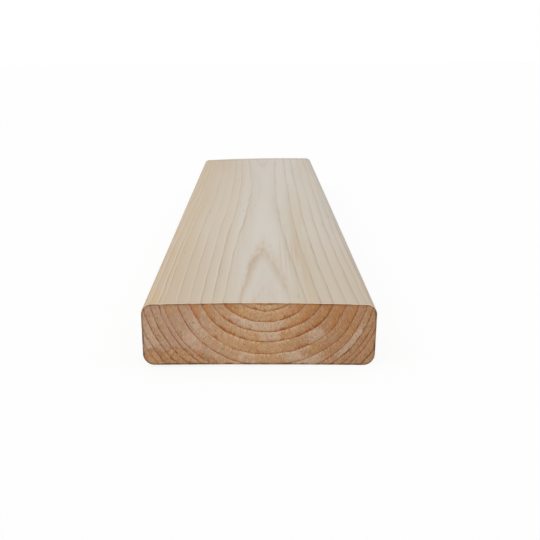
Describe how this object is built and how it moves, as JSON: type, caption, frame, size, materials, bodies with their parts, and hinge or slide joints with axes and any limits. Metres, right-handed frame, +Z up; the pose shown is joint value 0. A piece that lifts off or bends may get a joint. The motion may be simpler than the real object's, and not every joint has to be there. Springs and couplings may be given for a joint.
{
  "type": "timber plank",
  "caption": "Planed softwood plank of rectangular section with rounded long edges and square sawn ends, a building timber for framing, joists and boarding.",
  "frame": {"origin": "middle of the underside, on the floor that the plank lies on", "axes": "+Y along the grain, +X across the wide face, +Z up through the thickness"},
  "size_m": [0.14, 0.9, 0.038],
  "materials": {
    "softwood": "planed, unfinished"
  },
  "bodies": {
    "root": {"plank": "softwood"}
  },
  "joints": []
}
